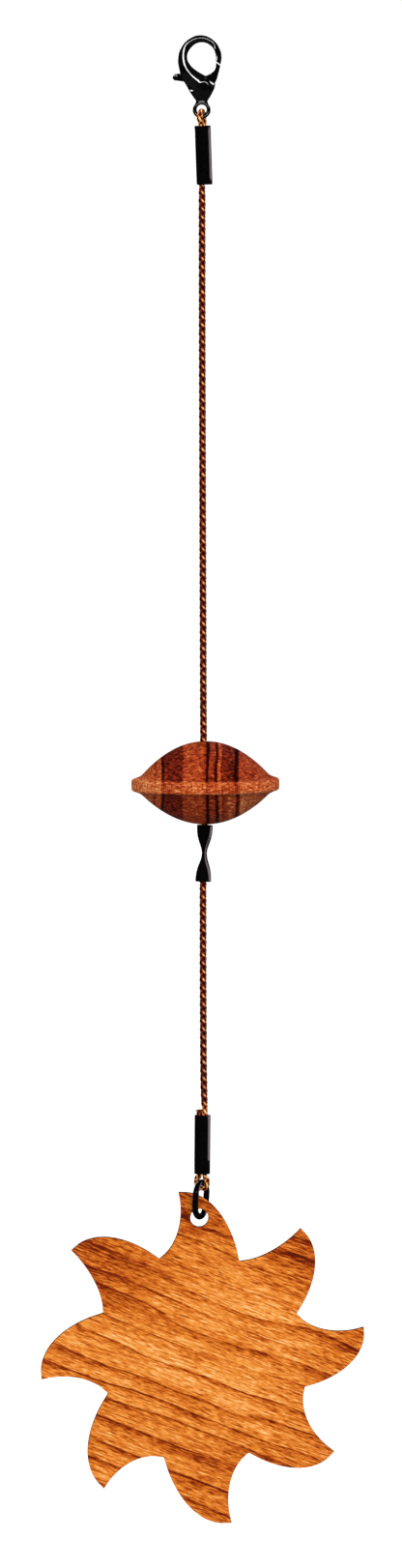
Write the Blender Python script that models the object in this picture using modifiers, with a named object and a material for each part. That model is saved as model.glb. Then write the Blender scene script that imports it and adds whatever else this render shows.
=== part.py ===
"""Wind chime clapper line: a clasp, a braided cord with three crimps, a turned wooden
clapper, a wire ring and a flat wooden sun that catches the wind.

The origin is the inside top of the clasp's hook, where the line hangs. X is right, Z is
up and the front faces -Y. Lists of points are in millimetres, everything else in metres.
"""

import math

import bmesh
import bpy
from mathutils import Vector

MM = 0.001

# Fits
SEAT_GAP = 0.2 * MM              # between pieces that rest on each other
RUNNING_GAP = 0.2 * MM           # on each side of the lever in its slot
PIN_GAP = 0.1 * MM               # round the rivet
SUN_HOLE_GAP = 0.34 * MM         # between the ring's wire and the rim of the sun's hole

# Clasp
CLASP_DEPTH = 3.8 * MM           # front to back over the cheeks
HOOK_DEPTH = 2.9 * MM            # at the top of the hook
EYE_DEPTH = 1.6 * MM             # at the eye
CLASP_EDGE = 0.3 * MM            # rounding of the cast edges
EYE_Z = -17.3 * MM
EYE_RADIUS = 2.33 * MM
EYE_HOLE_RADIUS = 1.28 * MM
CHEEK_TOP_Z = -8.0 * MM          # the cheeks have their full depth below this
CHEEK_BOTTOM_Z = -12.4 * MM      # and above this
NECK_Z = -15.2 * MM

# Lever of the clasp
PIVOT_X = 0.6 * MM
PIVOT_Z = -11.2 * MM
LEVER_DEPTH = 1.6 * MM
LEVER_EDGE = 0.15 * MM
THUMB_DEPTH = 2.8 * MM           # the thumb tab is wider than the arm
THUMB_START_X = -5.5 * MM
THUMB_FULL_X = -6.3 * MM
RIVET_RADIUS = 0.6 * MM
RIVET_HEAD_RADIUS = 1.05 * MM
RIVET_HEAD_HEIGHT = 0.35 * MM
RIVET_DOME = ((0.0, 1.0), (0.6, 0.85), (1.0, 0.3), (1.0, 0.0))   # shares of its radius and height

# Cord and crimps
CORD_DIAMETER = 1.85 * MM
CRIMP_RADIUS = 2.1 * MM
CRIMP_WALL = 0.38 * MM
CRIMP_ROUNDING = 0.12 * MM
UPPER_CRIMP_LENGTH = 15.2 * MM
UPPER_CRIMP_X = 0.2 * MM         # middle of its top end
UPPER_CRIMP_Z = -21.4 * MM
UPPER_CRIMP_LEAN = math.radians(-1.9)
STOP_CRIMP_LENGTH = 14.6 * MM
STOP_CRIMP_LEAN = math.radians(1.75)
STOP_WAIST = 1.56 * MM           # thickness left where the pliers closed
STOP_DENT_ABOVE = 3.3 * MM       # reach of the dent up the tube
STOP_DENT_BELOW = 3.5 * MM
STOP_ASIDE = 0.15 * MM           # how far left of the clapper's bore its top stands
LOWER_CRIMP_LENGTH = 15.3 * MM
LOWER_CRIMP_X = 0.2 * MM
LOWER_CRIMP_Z = -276.9 * MM
LOWER_CRIMP_LEAN = math.radians(0.5)

# Clapper
CLAPPER_X = 0.95 * MM
CLAPPER_Z = -191.35 * MM         # middle of the band
CLAPPER_RADIUS = 19.1 * MM
CLAPPER_BAND = 3.3 * MM
BAND_CORNER = 0.8 * MM
UPPER_DOME_HEIGHT = 11.2 * MM    # from the middle of the band
LOWER_DOME_HEIGHT = 10.3 * MM
DOME_RADIUS = 16.5 * MM          # where a dome meets the cove above the band
COVE_HEIGHT = 0.85 * MM
DOME_POWER = 2.05
CLAPPER_LEAN = math.radians(-0.5)
COVE_BEND = Vector((0.5, 0.42))  # how far out and how high the cove's middle is, as shares
BORE_RADIUS = 1.6 * MM
BORE_CHAMFER = 0.4 * MM

# Ring
RING_WIRE = 1.6 * MM
RING_END_RADIUS = 3.03 * MM      # centre line of the round ends
RING_HEIGHT = 10.5 * MM          # over the wire
RING_X = 0.05 * MM               # middle of the wire at the top
RING_Z = -294.4 * MM
RING_TURN = math.radians(63.0)   # about Z, away from the sun's face
RING_LEAN = math.radians(3.6)

# Sun
SUN_THICKNESS = 2.6 * MM
SUN_TURN = math.radians(2.5)
SUN_TIP_RADIUS = 42.75 * MM
SUN_NOTCH_RADIUS = 27.3 * MM
SUN_FIRST_TIP = 98.5             # degrees from +X, anticlockwise seen from the front
SUN_FIRST_NOTCH = 69.0
SUN_RAYS = 8
SUN_HOLE_RADIUS = 2.35 * MM
SUN_HOLE_ANGLE = 91.5
SUN_HOLE_INSET = 7.2 * MM        # from the reach of the tips in to the middle of the hole
SUN_HOLE_ASIDE = 0.11 * MM       # the hole hangs this far left of the ring's foot
# Depths of a ray's two sides as shares of its own chord, and the handles of their curves:
# how far along the chord and how far out, the second as a share of the side's depth.
SUN_BELLY = 0.195
SUN_HOLLOW = 0.150
BELLY_HANDLES = ((0.36, 1.13), (0.79, 1.44))
HOLLOW_HANDLES = ((0.30, -1.15), (0.72, -1.5))
# The rays were drawn by hand: turn in degrees and share of the usual reach of each tip and
# of the notch before it, and the share of the usual hollow that its inner side has.
SUN_UNEVENNESS = (
    (0.0, 0.9977, -0.3, 0.9524, 0.98),
    (-2.1, 1.0187, 0.3, 1.0000, 0.60),
    (0.0, 0.9883, -1.9, 1.0256, 0.90),
    (0.0, 1.0094, -1.8, 0.9707, 1.10),
    (1.2, 1.0374, 0.1, 1.0440, 1.02),
    (-0.1, 0.9906, 0.9, 1.0293, 1.05),
    (1.0, 0.9883, 3.2, 1.0147, 0.98),
    (-1.3, 0.9673, -0.5, 0.9670, 0.60),
)

# The claw of the clasp, seen from the front, from the inner corner of the hook's tip
# round the opening to the cheek's edge, then down the right side to the neck.
SMOOTH = "AUTO"
CORNER = "VECTOR"
CLAW_INNER = (
    (3.62, -4.85, CORNER),
    (3.62, -3.5, SMOOTH),
    (2.62, -1.2, SMOOTH),
    (0.0, 0.0, SMOOTH),
    (-2.5, -1.15, SMOOTH),
    (-3.72, -3.8, SMOOTH),
    (-2.95, -5.75, SMOOTH),
    (-1.0, -7.48, SMOOTH),
    (0.7, -8.45, CORNER),
    (3.5, -10.45, CORNER),
    (3.5, -11.1, SMOOTH),
    (2.65, -13.15, SMOOTH),
    (1.5, -15.1, CORNER),
)
CLAW_OUTER = (
    (-1.45, -15.1, CORNER),
    (-2.81, -13.15, SMOOTH),
    (-4.12, -10.9, SMOOTH),
    (-5.15, -9.2, SMOOTH),
    (-5.75, -7.15, SMOOTH),
    (-6.13, -4.5, SMOOTH),
    (-5.35, -1.5, SMOOTH),
    (-3.2, 0.9, SMOOTH),
    (-0.4, 1.85, SMOOTH),
    (2.6, 0.9, SMOOTH),
    (4.75, -1.8, SMOOTH),
    (5.17, -3.8, SMOOTH),
    (4.9, -5.75, CORNER),
)
# The space between the cheeks: the lever swings in it and reaches into the hook.
SLOT = (
    (-9.0, -7.8),
    (-2.1, -8.1),
    (-1.35, -6.9),
    (6.0, -6.9),
    (6.0, -13.3),
    (-9.0, -13.3),
)
# The lever from the outer corner of its tip down the arm, round the hub, out along the
# tail to the thumb tab and back to the inner side of the arm.
LEVER = (
    (4.82, -6.0, CORNER),
    (4.37, -7.9, SMOOTH),
    (3.62, -10.1, SMOOTH),
    (2.1, -11.9, SMOOTH),
    (0.6, -12.8, SMOOTH),
    (-1.0, -12.0, SMOOTH),
    (-4.4, -10.2, SMOOTH),
    (-6.2, -9.86, SMOOTH),
    (-7.3, -9.6, SMOOTH),
    (-7.45, -8.8, SMOOTH),
    (-6.2, -8.03, SMOOTH),
    (-4.4, -8.55, SMOOTH),
    (-1.0, -9.6, SMOOTH),
    (0.7, -8.65, CORNER),
    (1.6, -8.33, SMOOTH),
    (3.15, -7.3, SMOOTH),
    (3.61, -6.3, SMOOTH),
    (3.6, -5.15, CORNER),
)

# The cord's way in millimetres, and its thickness there as a share of its diameter: less
# than 1 where a crimp, the clasp's eye or the ring squeezes it. It starts with the tail
# inside the upper crimp and ends with the tail that looks out of the lower crimp.
ROUTE = (
    (1.27, 0.50, -35.4, 0.76),
    (0.96, 0.60, -29.0, 0.76),
    (0.57, 0.62, -21.8, 0.76),
    (0.56, 1.05, -20.5, 0.82),
    (0.50, 1.66, -19.5, 0.84),
    (0.42, 1.60, -18.5, 0.80),
    (0.28, 1.10, -17.82, 0.75),
    (0.0, 0.0, -17.65, 0.74),
    (-0.30, -1.10, -17.82, 0.75),
    (-0.48, -1.60, -18.5, 0.80),
    (-0.50, -1.66, -19.5, 0.86),
    (-0.32, -1.08, -20.5, 0.82),
    (-0.15, -0.64, -21.8, 0.76),
    (-0.06, -0.60, -29.0, 0.76),
    (0.06, -0.48, -36.2, 0.80),
    (0.10, -0.20, -40.0, 0.96),
    (0.10, 0.0, -47.0, 1.0),
    (0.12, 0.0, -70.0, 1.0),
    (0.20, 0.0, -100.0, 1.0),
    (0.30, 0.0, -135.0, 1.0),
    (0.42, 0.0, -170.0, 1.0),
    (0.55, 0.0, -185.0, 1.0),
    (0.74, 0.0, -198.0, 0.96),
    (0.76, 0.0, -203.2, 0.90),
    (0.68, 0.0, -206.4, 0.80),
    (0.63, 0.0, -207.7, 0.46),
    (0.59, 0.0, -209.1, 0.29),
    (0.55, 0.0, -210.5, 0.46),
    (0.50, 0.0, -211.8, 0.80),
    (0.38, 0.0, -215.2, 0.94),
    (0.34, 0.0, -219.5, 1.0),
    (0.36, 0.0, -240.0, 1.0),
    (0.46, 0.0, -262.0, 1.0),
    (0.64, -0.05, -272.0, 0.98),
    (0.88, -0.20, -277.6, 0.76),
    (0.86, -0.32, -284.5, 0.76),
    (0.74, -0.33, -292.1, 0.75),
    (1.24, -0.60, -293.3, 0.78),
    (1.47, -0.72, -294.5, 0.75),
    (1.06, -0.51, -295.55, 0.75),
    (0.05, 0.0, -296.0, 0.75),
    (-0.96, 0.51, -295.55, 0.75),
    (-1.37, 0.72, -294.5, 0.75),
    (-1.14, 0.60, -293.3, 0.78),
    (-0.60, 0.33, -292.1, 0.75),
    (-0.62, 0.32, -284.5, 0.76),
    (-0.54, 0.20, -277.6, 0.76),
    (-0.62, 0.16, -275.6, 0.82),
)
ROUTE_STEP = 5.5 * MM            # between points of the tube where the cord is straight
BEND_STEP = 1.6 * MM             # and where it bends
BEND_SEGMENT = 3.0 * MM

# How finely round forms are divided
TURNED_STEPS = 40
DOME_STEPS = 9
CRIMP_STEPS = 24
STOP_RINGS = 14
RIVET_STEPS = 20
RING_HALF_STEPS = 14


def clear_scene():
    for item in list(bpy.data.objects):
        bpy.data.objects.remove(item, do_unlink=True)


def new_collection(name):
    collection = bpy.data.collections.new(name)
    bpy.context.scene.collection.children.link(collection)
    return collection


def smoothstep(low, high, value):
    share = min(max((value - low) / (high - low), 0.0), 1.0)
    return share * share * (3.0 - 2.0 * share)


def material(name, colour, roughness, metallic=0.0):
    made = bpy.data.materials.new(name)
    made.use_nodes = True
    shader = made.node_tree.nodes["Principled BSDF"]
    shader.inputs["Base Color"].default_value = (*colour, 1.0)
    shader.inputs["Roughness"].default_value = roughness
    shader.inputs["Metallic"].default_value = metallic
    return made


def place(name, data, look, location=(0.0, 0.0, 0.0), rotation=(0.0, 0.0, 0.0)):
    """Add an object to the part's collection with its material."""
    made = bpy.data.objects.new(name, data)
    made.location = location
    made.rotation_euler = rotation
    if look is not None:
        data.materials.append(look)
    PARTS.objects.link(made)
    return made


def to_mesh(source, weld=1e-6):
    """Swap an object for the closed mesh that its curve or modifiers make."""
    bpy.context.view_layer.update()
    graph = bpy.context.evaluated_depsgraph_get()
    mesh = bpy.data.meshes.new_from_object(source.evaluated_get(graph), depsgraph=graph)
    form = bmesh.new()
    form.from_mesh(mesh)
    bmesh.ops.remove_doubles(form, verts=form.verts, dist=weld)
    form.to_mesh(mesh)
    form.free()
    name = source.name
    matrix = source.matrix_world.copy()
    bpy.data.objects.remove(source, do_unlink=True)
    made = bpy.data.objects.new(name, mesh)
    made.matrix_world = matrix
    PARTS.objects.link(made)
    return made


def shade(made, angle=40.0):
    made.data.shade_smooth()
    made.data.set_sharp_from_angle(angle=math.radians(angle))


def add_cutter(made):
    PARTS.objects.unlink(made)
    CUTTERS.objects.link(made)
    made.hide_render = True
    made.display_type = "WIRE"
    return made


def cut(target, cutter):
    modifier = target.modifiers.new("cut " + cutter.name, "BOOLEAN")
    modifier.operation = "DIFFERENCE"
    modifier.object = cutter


def flat_curve(name, depth, edge=0.0):
    """A 2D curve for an upright plate: its outline is drawn in X and Z."""
    curve = bpy.data.curves.new(name, "CURVE")
    curve.dimensions = "2D"
    curve.fill_mode = "BOTH"
    curve.extrude = depth / 2.0 - edge
    curve.bevel_depth = edge
    curve.bevel_resolution = 1
    curve.offset = -edge
    return curve


def add_outline(curve, knots, resolution):
    """Closed spline through (x, z, kind) knots in metres."""
    spline = curve.splines.new("BEZIER")
    spline.bezier_points.add(len(knots) - 1)
    spline.use_cyclic_u = True
    spline.resolution_u = resolution
    for point, (x, z, kind) in zip(spline.bezier_points, knots):
        point.co = (x, z, 0.0)
        point.handle_left_type = kind
        point.handle_right_type = kind


def add_circle(curve, x, z, radius, resolution=5):
    knots = []
    for quarter in range(4):
        angle = quarter * math.pi / 2.0
        knots.append((x + radius * math.cos(angle), z + radius * math.sin(angle), SMOOTH))
    add_outline(curve, knots, resolution)


def in_metres(points, x=0.0, z=0.0):
    """Knots in millimetres as metres, measured from (x, z)."""
    return [(point[0] * MM - x, point[1] * MM - z, *point[2:]) for point in points]


def turned(name, profile, look, steps, closed, location, lean=0.0):
    """A lathe form about its own Z, from (radius, z) points that run down the outside."""
    mesh = bpy.data.meshes.new(name)
    edges = [(index, index + 1) for index in range(len(profile) - 1)]
    if closed:
        edges.append((len(profile) - 1, 0))
    mesh.from_pydata([(radius, 0.0, z) for radius, z in profile], edges, [])
    made = place(name, mesh, look, location, (0.0, lean, 0.0))
    screw = made.modifiers.new("turn", "SCREW")
    screw.steps = steps
    screw.render_steps = steps
    screw.use_merge_vertices = True
    screw.merge_threshold = 1e-6
    return made


def clasp_depth_at(z):
    """Depth of the clasp: thin at the eye, full over the cheeks, slimmer at the hook."""
    lower = EYE_DEPTH + (CLASP_DEPTH - EYE_DEPTH) * smoothstep(NECK_Z, CHEEK_BOTTOM_Z, z)
    return lower + (HOOK_DEPTH - CLASP_DEPTH) * smoothstep(CHEEK_TOP_Z, 0.0, z)


def eye_outline():
    """Knots round the eye from the right side of the neck to its left side."""
    knots = []
    for degrees in (45, 0, -45, -90, -135, -180, -225):
        angle = math.radians(degrees)
        knots.append((EYE_RADIUS * math.cos(angle), EYE_Z + EYE_RADIUS * math.sin(angle), SMOOTH))
    return knots


def make_clasp_body():
    curve = flat_curve("clasp_body", CLASP_DEPTH, CLASP_EDGE)
    outline = in_metres(CLAW_INNER) + eye_outline() + in_metres(CLAW_OUTER)
    add_outline(curve, outline, 3)
    add_circle(curve, 0.0, EYE_Z, EYE_HOLE_RADIUS, 4)
    body = to_mesh(place("clasp_body", curve, METAL, rotation=(math.pi / 2.0, 0.0, 0.0)))
    for vertex in body.data.vertices:
        vertex.co.z *= clasp_depth_at(vertex.co.y) / CLASP_DEPTH
    slot_curve = flat_curve("slot", LEVER_DEPTH + 2.0 * RUNNING_GAP)
    add_outline(slot_curve, [(*point, CORNER) for point in in_metres(SLOT)], 1)
    slot = to_mesh(place("slot", slot_curve, None, rotation=(math.pi / 2.0, 0.0, 0.0)))
    cut(body, add_cutter(slot))
    cut(body, add_cutter(rivet_hole()))
    shade(body)


def rivet_hole():
    mesh = bpy.data.meshes.new("rivet hole")
    form = bmesh.new()
    radius = RIVET_RADIUS + PIN_GAP
    bmesh.ops.create_cone(form, cap_ends=True, segments=RIVET_STEPS, radius1=radius,
                          radius2=radius, depth=2.0 * CLASP_DEPTH)
    form.to_mesh(mesh)
    form.free()
    return place("rivet hole", mesh, None, (PIVOT_X, 0.0, PIVOT_Z), (math.pi / 2.0, 0.0, 0.0))


def split_at(mesh, x):
    """Cut a mesh's faces along a plane across X, and keep both sides."""
    form = bmesh.new()
    form.from_mesh(mesh)
    everything = form.verts[:] + form.edges[:] + form.faces[:]
    bmesh.ops.bisect_plane(form, geom=everything, dist=1e-7, plane_co=(x, 0.0, 0.0),
                           plane_no=(1.0, 0.0, 0.0))
    form.to_mesh(mesh)
    form.free()


def make_clasp_lever():
    """The gate arm, its hub and the thumb tab, with its origin on the rivet's axis."""
    curve = flat_curve("clasp_lever", LEVER_DEPTH, LEVER_EDGE)
    add_outline(curve, in_metres(LEVER, PIVOT_X, PIVOT_Z), 3)
    add_circle(curve, 0.0, 0.0, RIVET_RADIUS + PIN_GAP)
    lever = to_mesh(place("clasp_lever", curve, METAL, (PIVOT_X, 0.0, PIVOT_Z),
                          (math.pi / 2.0, 0.0, 0.0)))
    split_at(lever.data, THUMB_START_X - PIVOT_X)
    widen = THUMB_DEPTH / LEVER_DEPTH - 1.0
    for vertex in lever.data.vertices:
        reach = smoothstep(THUMB_START_X, THUMB_FULL_X, vertex.co.x + PIVOT_X)
        vertex.co.z *= 1.0 + widen * reach
    shade(lever)


def make_clasp_rivet():
    seat = clasp_depth_at(PIVOT_Z) / 2.0 + PIN_GAP
    half = [(RIVET_HEAD_RADIUS * out, seat + RIVET_HEAD_HEIGHT * up) for out, up in RIVET_DOME]
    half.append((RIVET_RADIUS, seat))
    profile = half + [(radius, -z) for radius, z in reversed(half)]
    rivet = turned("clasp_rivet", profile, METAL, RIVET_STEPS, False, (PIVOT_X, 0.0, PIVOT_Z))
    rivet.rotation_euler = (math.pi / 2.0, 0.0, 0.0)
    rivet.data.shade_smooth()


def crimp_profile(length, rings=1):
    """Half section of a tube from its top end at z = 0, with lightly rounded rims."""
    inner = CRIMP_RADIUS - CRIMP_WALL
    straight = length - 2.0 * CRIMP_ROUNDING
    side = [-CRIMP_ROUNDING - straight * ring / rings for ring in range(rings + 1)]
    outside = [(CRIMP_RADIUS - CRIMP_ROUNDING, 0.0)]
    outside += [(CRIMP_RADIUS, z) for z in side]
    outside.append((CRIMP_RADIUS - CRIMP_ROUNDING, -length))
    inside = [(inner, -length)]
    inside += [(inner, z) for z in reversed(side[1:-1])]
    inside.append((inner, 0.0))
    return outside + inside


def make_straight_crimp(name, top, length, lean):
    crimp = turned(name, crimp_profile(length), METAL, CRIMP_STEPS, True, top, lean)
    crimp.data.shade_smooth()


def stop_crimp_top():
    """The stop sits just under the clapper and leans with the cord below it."""
    return Vector((CLAPPER_X - STOP_ASIDE, 0.0, CLAPPER_Z - LOWER_DOME_HEIGHT - SEAT_GAP))


def make_stop_crimp():
    """A tube that pliers pinched flat in the middle: narrow from the front, wide in depth."""
    profile = crimp_profile(STOP_CRIMP_LENGTH, STOP_RINGS)
    crimp = turned("clapper_stop_crimp", profile, METAL, CRIMP_STEPS, True, stop_crimp_top(),
                   STOP_CRIMP_LEAN)
    crimp = to_mesh(crimp)
    middle = -STOP_CRIMP_LENGTH / 2.0
    for vertex in crimp.data.vertices:
        radius = math.hypot(vertex.co.x, vertex.co.y)
        reach = STOP_DENT_ABOVE if vertex.co.z > middle else STOP_DENT_BELOW
        dent = math.exp(-((vertex.co.z - middle) / reach) ** 2)
        thin = CRIMP_RADIUS - (CRIMP_RADIUS - STOP_WAIST / 2.0) * dent
        wide = math.sqrt(2.0 * CRIMP_RADIUS ** 2 - thin ** 2)
        under_skin = CRIMP_RADIUS - radius
        vertex.co.x *= (thin - under_skin) / radius
        vertex.co.y *= (wide - under_skin) / radius
    shade(crimp, 50.0)


def dome(height):
    """Points of one dome from the bore's rim out to the cove, for heights above the band."""
    edge_z = CLAPPER_BAND / 2.0 + COVE_HEIGHT
    inner = BORE_RADIUS + BORE_CHAMFER
    points = []
    for step in range(DOME_STEPS + 1):
        radius = inner + (DOME_RADIUS - inner) * step / DOME_STEPS
        fall = (height - edge_z) * (radius / DOME_RADIUS) ** DOME_POWER
        points.append((radius, height - fall))
    rim = (BORE_RADIUS, points[0][1] - BORE_CHAMFER)
    return [rim] + points


def band_corner():
    """The cove outside a dome and the rounded corner of the band."""
    top = CLAPPER_BAND / 2.0
    centre = CLAPPER_RADIUS - BAND_CORNER
    points = [(DOME_RADIUS + (centre - DOME_RADIUS) * COVE_BEND.x, top + COVE_HEIGHT * COVE_BEND.y)]
    for degrees in (90, 60, 30, 0):
        angle = math.radians(degrees)
        points.append((centre + BAND_CORNER * math.cos(angle),
                       top - BAND_CORNER + BAND_CORNER * math.sin(angle)))
    return points


def make_clapper():
    upper = dome(UPPER_DOME_HEIGHT) + band_corner()
    lower = dome(LOWER_DOME_HEIGHT) + band_corner()
    profile = upper + [(radius, -z) for radius, z in reversed(lower)]
    clapper = turned("clapper", profile, CLAPPER_WOOD, TURNED_STEPS, True,
                     (CLAPPER_X, 0.0, CLAPPER_Z), CLAPPER_LEAN)
    clapper.data.shade_smooth()


def through(before, start, end, after, share):
    """Point on the smooth curve through four neighbours, between start and end."""
    square = share * share
    cube = square * share
    return 0.5 * (2.0 * start + (end - before) * share
                  + (2.0 * before - 5.0 * start + 4.0 * end - after) * square
                  + (3.0 * start - before - 3.0 * end + after) * cube)


def cord_points():
    """The cord's centre line as (place, thickness) in metres, close together in bends."""
    knots = [Vector((x * MM, y * MM, z * MM, thickness)) for x, y, z, thickness in ROUTE]
    points = []
    last = len(knots) - 1
    for index in range(last):
        start = knots[index]
        end = knots[index + 1]
        length = (end.xyz - start.xyz).length
        step = BEND_STEP if length < BEND_SEGMENT else ROUTE_STEP
        count = max(1, math.ceil(length / step))
        before = knots[max(index - 1, 0)]
        after = knots[min(index + 2, last)]
        if length > 2.0 * (start.xyz - before.xyz).length:
            before = start - (end - start)
        if length > 2.0 * (after.xyz - end.xyz).length:
            after = end + (end - start)
        for part in range(count):
            points.append(through(before, start, end, after, part / count))
    points.append(knots[-1])
    return points


def make_cord():
    curve = bpy.data.curves.new("cord", "CURVE")
    curve.dimensions = "3D"
    curve.fill_mode = "FULL"
    curve.bevel_depth = CORD_DIAMETER / 2.0
    curve.bevel_resolution = 2
    curve.use_fill_caps = True
    points = cord_points()
    spline = curve.splines.new("POLY")
    spline.points.add(len(points) - 1)
    for point, place_and_thickness in zip(spline.points, points):
        point.co = (*place_and_thickness.xyz, 1.0)
        point.radius = place_and_thickness.w
    place("cord", curve, CORD_BROWN)


def make_ring():
    """An oval ring of round wire that hangs from the cord's loop and carries the sun."""
    straight = RING_HEIGHT - RING_WIRE - 2.0 * RING_END_RADIUS
    curve = bpy.data.curves.new("sail_ring", "CURVE")
    curve.dimensions = "3D"
    curve.bevel_depth = RING_WIRE / 2.0
    curve.bevel_resolution = 3
    points = []
    for step in range(2 * RING_HALF_STEPS + 2):
        lower = step > RING_HALF_STEPS
        angle = math.pi * (step - 1 if lower else step) / RING_HALF_STEPS
        drop = RING_END_RADIUS + (straight if lower else 0.0)
        points.append((RING_END_RADIUS * math.cos(angle),
                       RING_END_RADIUS * math.sin(angle) - drop))
    spline = curve.splines.new("POLY")
    spline.points.add(len(points) - 1)
    spline.use_cyclic_u = True
    for point, (across, up) in zip(spline.points, points):
        point.co = (across, 0.0, up, 1.0)
    ring = place("sail_ring", curve, METAL, rotation=(0.0, 0.0, RING_TURN))
    hanger = bpy.data.objects.new("ring hanger", None)
    hanger.location = (RING_X, 0.0, RING_Z)
    hanger.rotation_euler = (0.0, RING_LEAN, 0.0)
    PARTS.objects.link(hanger)
    ring.parent = hanger


def ring_bottom():
    """Middle of the wire at the foot of the ring."""
    hang = RING_HEIGHT - RING_WIRE
    return Vector((RING_X - math.sin(RING_LEAN) * hang, 0.0, RING_Z - math.cos(RING_LEAN) * hang))


def hole_above_wire():
    """Height of the hole's middle over the wire's, with the sun's faces clear of the wire.

    The wire crosses the sun at a slant and curves upwards, so it is nearest to the rim of
    the hole at the faces. There its section is an oval, which is tried point by point.
    """
    slant = math.pi / 2.0 - RING_TURN + SUN_TURN
    along = SUN_THICKNESS / 2.0 / math.cos(slant)
    top = math.sqrt(max((RING_END_RADIUS - RING_WIRE / 2.0) ** 2 - along ** 2, 0.0))
    foot = math.sqrt((RING_END_RADIUS + RING_WIRE / 2.0) ** 2 - along ** 2)
    middle = RING_END_RADIUS - (top + foot) / 2.0
    room = SUN_HOLE_RADIUS - SUN_HOLE_GAP
    height = -RING_END_RADIUS
    for degrees in range(0, 95, 5):
        angle = math.radians(degrees)
        across = SUN_HOLE_ASIDE + along * math.sin(slant)
        across += RING_WIRE / 2.0 / math.cos(slant) * math.sin(angle)
        up = middle + (foot - top) / 2.0 * math.cos(angle)
        height = max(height, up - math.sqrt(max(room ** 2 - across ** 2, 0.0)))
    return height


def sun_centre():
    """The sun hangs with the top of its hole on the ring's foot."""
    angle = math.radians(SUN_HOLE_ANGLE)
    hole = ring_bottom() + Vector((-SUN_HOLE_ASIDE, 0.0, hole_above_wire()))
    reach = SUN_TIP_RADIUS - SUN_HOLE_INSET
    return hole - Vector((math.cos(angle), 0.0, math.sin(angle))) * reach


def polar(degrees, radius):
    angle = math.radians(degrees)
    return Vector((radius * math.cos(angle), radius * math.sin(angle)))


def ray_side(start, end, depth, handles):
    """Handles of one side of a ray, whose middle stands out by a share of its chord."""
    chord = end - start
    outward = Vector((chord.y, -chord.x)) * depth
    return [start + chord * along + outward * out for along, out in handles]


def sun_outline(curve):
    """Eight curled rays: each has a full belly on one side and a hollow on the other."""
    step = 360.0 / SUN_RAYS
    tips = []
    notches = []
    for ray in range(SUN_RAYS):
        tip_turn, tip_reach, notch_turn, notch_reach, _ = SUN_UNEVENNESS[ray % len(SUN_UNEVENNESS)]
        tips.append(polar(SUN_FIRST_TIP + step * ray + tip_turn, SUN_TIP_RADIUS * tip_reach))
        notches.append(polar(SUN_FIRST_NOTCH + step * ray + notch_turn,
                             SUN_NOTCH_RADIUS * notch_reach))
    sides = []
    for ray in range(SUN_RAYS):
        hollow = SUN_HOLLOW * SUN_UNEVENNESS[ray % len(SUN_UNEVENNESS)][4]
        tip = tips[ray]
        following = notches[(ray + 1) % SUN_RAYS]
        belly = ray_side(notches[ray], tip, SUN_BELLY, BELLY_HANDLES)
        inner = ray_side(tip, following, hollow, HOLLOW_HANDLES)
        sides.append((belly, inner))
    knots = []
    for ray in range(SUN_RAYS):
        belly, inner = sides[ray]
        knots.append((notches[ray], sides[ray - 1][1][1], belly[0]))
        knots.append((tips[ray], belly[1], inner[0]))
    spline = curve.splines.new("BEZIER")
    spline.bezier_points.add(len(knots) - 1)
    spline.use_cyclic_u = True
    spline.resolution_u = 7
    for point, (middle, left, right) in zip(spline.bezier_points, knots):
        point.handle_left_type = "FREE"
        point.handle_right_type = "FREE"
        point.co = (middle.x, middle.y, 0.0)
        point.handle_left = (left.x, left.y, 0.0)
        point.handle_right = (right.x, right.y, 0.0)


def make_sun():
    curve = flat_curve("sun_sail", SUN_THICKNESS)
    sun_outline(curve)
    hole = polar(SUN_HOLE_ANGLE, SUN_TIP_RADIUS - SUN_HOLE_INSET)
    add_circle(curve, hole.x, hole.y, SUN_HOLE_RADIUS, 6)
    sun = place("sun_sail", curve, SUN_WOOD, sun_centre(), (math.pi / 2.0, 0.0, SUN_TURN))
    to_mesh(sun)


clear_scene()
PARTS = new_collection("wind chime clapper line")
CUTTERS = new_collection("cutters")
METAL = material("black metal", (0.012, 0.012, 0.013), 0.28, 0.85)
CORD_BROWN = material("braided cord", (0.33, 0.12, 0.04), 0.7)
CLAPPER_WOOD = material("clapper wood", (0.27, 0.075, 0.022), 0.55)
SUN_WOOD = material("sun wood", (0.66, 0.25, 0.055), 0.5)

make_clasp_body()
make_clasp_lever()
make_clasp_rivet()
make_straight_crimp("upper_crimp", Vector((UPPER_CRIMP_X, 0.0, UPPER_CRIMP_Z)),
                    UPPER_CRIMP_LENGTH, UPPER_CRIMP_LEAN)
make_clapper()
make_stop_crimp()
make_straight_crimp("lower_crimp", Vector((LOWER_CRIMP_X, 0.0, LOWER_CRIMP_Z)),
                    LOWER_CRIMP_LENGTH, LOWER_CRIMP_LEAN)
make_cord()
make_ring()
make_sun()
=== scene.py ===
"""Looks of the wind chime clapper line: black clasp, braided cord and crimps, a turned
wooden clapper, a wire ring and a wooden sun with charred edges.

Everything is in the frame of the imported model, in metres. Lists marked as millimetres
are turned into metres where they are used.
"""

import math

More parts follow.
